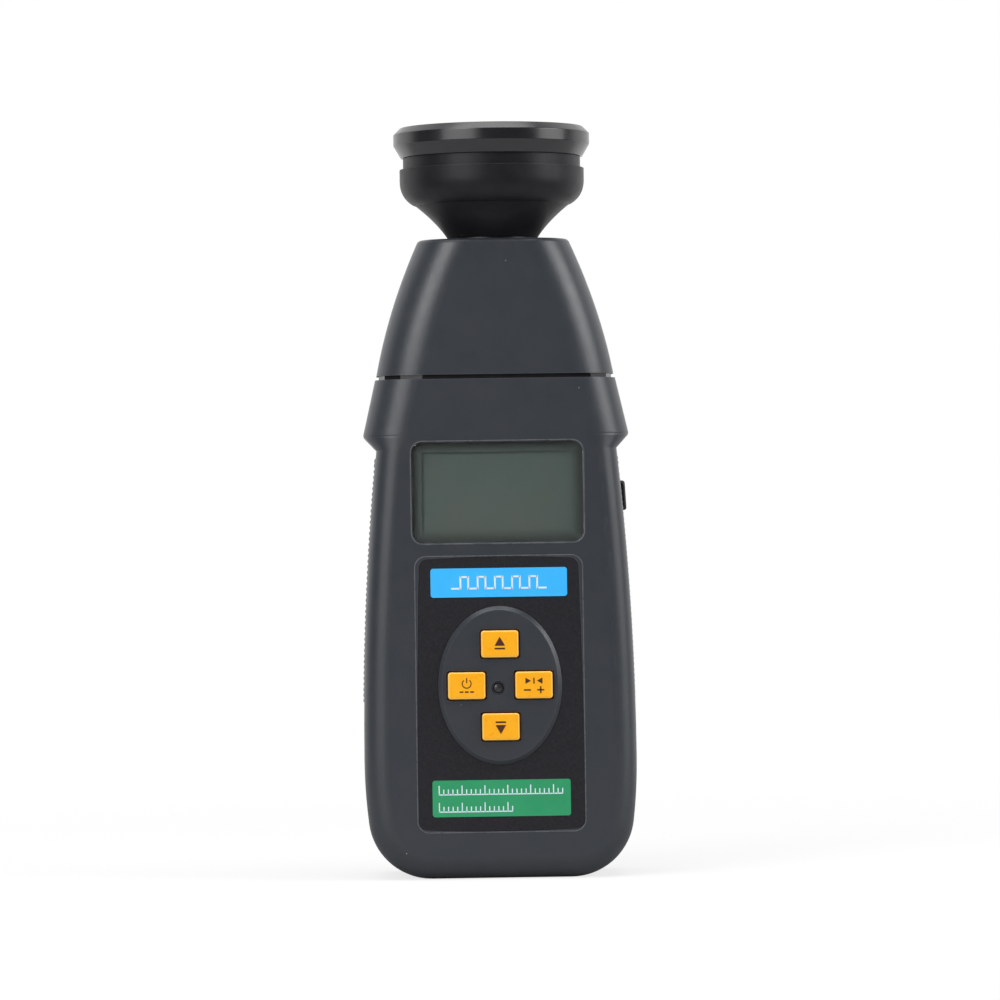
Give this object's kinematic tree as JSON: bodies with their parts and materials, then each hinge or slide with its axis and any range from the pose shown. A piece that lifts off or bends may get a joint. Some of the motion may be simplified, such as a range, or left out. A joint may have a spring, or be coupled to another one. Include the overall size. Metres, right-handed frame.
{
  "type": "handheld xenon stroboscope",
  "caption": "Handheld digital stroboscope: a round flash lamp on a tapered nose, a display window, orange keys in an oval field, a side button and a battery door.",
  "frame": {"origin": "centre of the flat base, below the middle of the body's depth", "axes": "+Z along the body from the flat base to the lamp, the keys and display face -Y, the side button is on +X"},
  "size_m": [0.0778, 0.0564, 0.215],
  "materials": {
    "shell_plastic": "fine spark-eroded grain, satin",
    "lamp_black": "satin black anodised",
    "ring_black": "semi-gloss black anodised",
    "collar_black": "gloss black",
    "black_nylon": "black nylon",
    "lens_clear": "clear polished",
    "gasket_rubber": "black",
    "reflector_metal": "vacuum-coated",
    "tube_glass": "clear quartz",
    "electrode_metal": "tungsten",
    "lamp_ceramic": "white ceramic",
    "lead_red": "red insulation",
    "lead_black": "black insulation",
    "lead_white": "white insulation",
    "terminal_green": "moulded",
    "window_clear": "clear acrylic",
    "lcd_grey": "grey-green reflective display",
    "black_plastic": "black",
    "zebra_rubber": "striped silicone",
    "label_black": "textured film",
    "strip_blue": "printed",
    "strip_green": "printed",
    "key_orange": "moulded",
    "plunger_brown": "moulded",
    "indicator_dark": "smoked",
    "indicator_red": "tinted",
    "board_green": "solder mask",
    "can_steel": "drawn can",
    "capacitor_sleeve": "shrink sleeve",
    "ferrite": "sintered",
    "winding_tape": "polyester tape",
    "coil_epoxy": "potted",
    "screw_steel": "black zinc",
    "spring_steel": "nickel plated",
    "cell_jacket": "sleeve over steel can"
  },
  "bodies": {
    "case": {"anode_lead": "lead_red", "battery_cells": "cell_jacket", "battery_lead_black": "lead_black", "battery_lead_red": "lead_red", "battery_plates": "spring_steel", "battery_springs": "spring_steel", "battery_tray": "black_plastic", "blue_strip": "strip_blue", "board_connector": "black_plastic", "board_screws": "screw_steel", "case_screws": "screw_steel", "cathode_lead": "lead_black", "crystal": "can_steel", "display_frame": "black_plastic", "display_glass": "lcd_grey", "display_window": "window_clear", "flash_tube": "tube_glass", "front_label": "label_black", "front_shell": "shell_plastic", "green_strip": "strip_green", "indicator_lamp": "indicator_red", "indicator_pipe": "indicator_dark", "joint_collar": "collar_black", "key_switches": "black_plastic", "lamp_base": "lamp_ceramic", "lamp_housing": "lamp_black", "lamp_nut": "black_nylon", "lamp_terminals": "terminal_green", "main_board": "board_green", "microcontroller": "black_plastic", "neck_washer": "black_nylon", "nose_cap": "shell_plastic", "power_board": "board_green", "rear_shell": "shell_plastic", "rectifier_diodes": "black_plastic", "reflector": "reflector_metal", "side_board": "board_green", "side_switch": "black_plastic", "storage_capacitor": "capacitor_sleeve", "transformer_core": "ferrite", "transformer_winding": "winding_tape", "trigger_coil": "coil_epoxy", "trigger_lead": "lead_white", "trigger_wire": "electrode_metal", "tube_electrodes": "electrode_metal", "zebra_strips": "zebra_rubber"},
    "key_up": {"button_up": "key_orange", "plunger_up": "plunger_brown"},
    "key_down": {"button_down": "key_orange", "plunger_down": "plunger_brown"},
    "key_read": {"button_read": "key_orange", "plunger_read": "plunger_brown"},
    "key_fine": {"button_fine": "key_orange", "plunger_fine": "plunger_brown"},
    "side_key": {"side_button": "black_plastic", "plunger_side": "plunger_brown"},
    "door": {"battery_door": "shell_plastic"},
    "front_glass": {"lens": "lens_clear", "lens_gasket": "gasket_rubber"},
    "screw_ring": {"lens_ring": "ring_black"}
  },
  "joints": [
    {"name": "press_up", "type": "slide", "parent": "case", "child": "key_up", "axis": [0, 1, 0], "range_m": [0, 0.0006], "stiffness_N_per_m": 900, "springref_m": -0.0006},
    {"name": "press_down", "type": "slide", "parent": "case", "child": "key_down", "axis": [0, 1, 0], "range_m": [0, 0.0006], "stiffness_N_per_m": 900, "springref_m": -0.0006},
    {"name": "press_read", "type": "slide", "parent": "case", "child": "key_read", "axis": [0, 1, 0], "range_m": [0, 0.0006], "stiffness_N_per_m": 900, "springref_m": -0.0006},
    {"name": "press_fine", "type": "slide", "parent": "case", "child": "key_fine", "axis": [0, 1, 0], "range_m": [0, 0.0006], "stiffness_N_per_m": 900, "springref_m": -0.0006},
    {"name": "press_side", "type": "slide", "parent": "case", "child": "side_key", "axis": [-1, 0, 0], "range_m": [0, 0.001], "stiffness_N_per_m": 700, "springref_m": -0.0007},
    {"name": "door_hinge", "type": "hinge", "parent": "case", "child": "door", "pos_m": [0, 0.02, 0.0141], "axis": [-1, 0, 0], "range_deg": [0, 80]},
    {"name": "lens_lift", "type": "slide", "parent": "case", "child": "front_glass", "axis": [0, 0, 1], "range_m": [0, 0.0045]},
    {"name": "ring_turn", "type": "hinge", "parent": "front_glass", "child": "screw_ring", "pos_m": [0, 0, 0.2107], "axis": [0, 0, 1], "range_deg": [0, 1079]}
  ],
  "couplings": [
    {"joint": "lens_lift", "follows": "ring_turn", "m_per_rad": 0.00023873}
  ]
}
